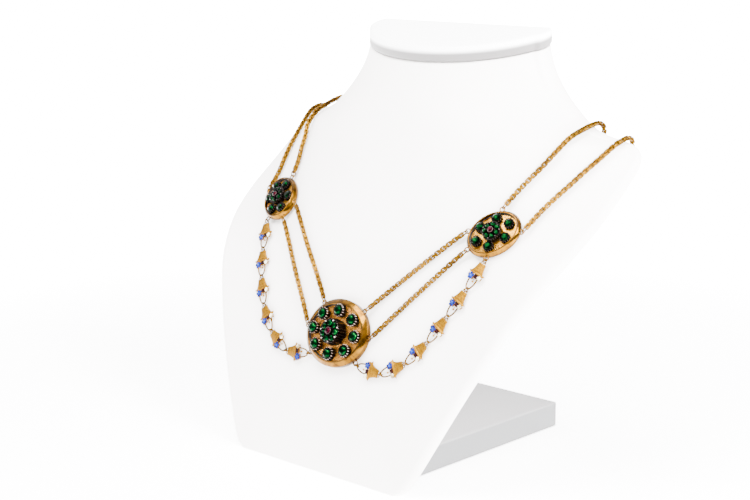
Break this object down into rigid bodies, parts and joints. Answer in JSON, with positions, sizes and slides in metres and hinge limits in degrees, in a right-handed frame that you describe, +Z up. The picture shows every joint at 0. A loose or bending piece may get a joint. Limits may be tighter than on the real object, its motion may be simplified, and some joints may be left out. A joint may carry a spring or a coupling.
{
  "type": "enamel necklace on a neck bust stand",
  "caption": "Festoon necklace of oval jewelled gold plaques, enamelled flower basket links and fine link chains, shown on a white neck bust display stand.",
  "frame": {"origin": "under the middle of the stand, at the level it stands on", "axes": "+Z up, -Y towards the front of the chest, +X to the right side of someone who faces the chest"},
  "size_m": [0.2236, 0.137, 0.211],
  "materials": {
    "bust_leatherette": "fine-grained white leatherette, satin",
    "gold": "polished antique gold, darker in the hollows",
    "dark_silver": "oxidised silver, bright on the ridges",
    "green_stone": "deep green cut stone, glossy",
    "ruby_stone": "ruby red cut stone, glossy",
    "enamelled_gold": "antique gold with blue, dark red and white enamel flowers"
  },
  "bodies": {
    "root": {"bust_shell": "bust_leatherette", "neck_cap": "bust_leatherette", "bust_foot": "bust_leatherette", "centre_plaque": "gold", "left_plaque": "gold", "right_plaque": "gold", "centre_collets": "dark_silver", "centre_rosette": "dark_silver", "centre_petals": "green_stone", "centre_ruby": "ruby_stone", "left_collets": "dark_silver", "left_rosette": "dark_silver", "left_petals": "green_stone", "left_ruby": "ruby_stone", "right_collets": "dark_silver", "right_rosette": "dark_silver", "right_petals": "green_stone", "right_ruby": "ruby_stone", "centre_stone_1": "green_stone", "centre_stone_2": "green_stone", "centre_stone_3": "green_stone", "centre_stone_4": "green_stone", "centre_stone_5": "green_stone", "centre_stone_6": "green_stone", "centre_stone_7": "green_stone", "centre_stone_8": "green_stone", "left_stone_1": "green_stone", "left_stone_2": "green_stone", "left_stone_3": "green_stone", "left_stone_4": "green_stone", "left_stone_5": "green_stone", "left_stone_6": "green_stone", "right_stone_1": "green_stone", "right_stone_2": "green_stone", "right_stone_3": "green_stone", "right_stone_4": "green_stone", "right_stone_5": "green_stone", "right_stone_6": "green_stone", "left_basket_1": "enamelled_gold", "left_basket_2": "enamelled_gold", "left_basket_3": "enamelled_gold", "left_basket_4": "enamelled_gold", "left_basket_5": "enamelled_gold", "left_basket_6": "enamelled_gold", "right_basket_1": "enamelled_gold", "right_basket_2": "enamelled_gold", "right_basket_3": "enamelled_gold", "right_basket_4": "enamelled_gold", "right_basket_5": "enamelled_gold", "right_basket_6": "enamelled_gold", "left_garland_rings": "gold", "right_garland_rings": "gold", "front_strand_left_upper": "gold", "front_strand_left_lower": "gold", "front_strand_right_upper": "gold", "front_strand_right_lower": "gold", "back_strand_inner": "gold", "back_strand_outer": "gold", "clasp": "gold"}
  },
  "joints": []
}
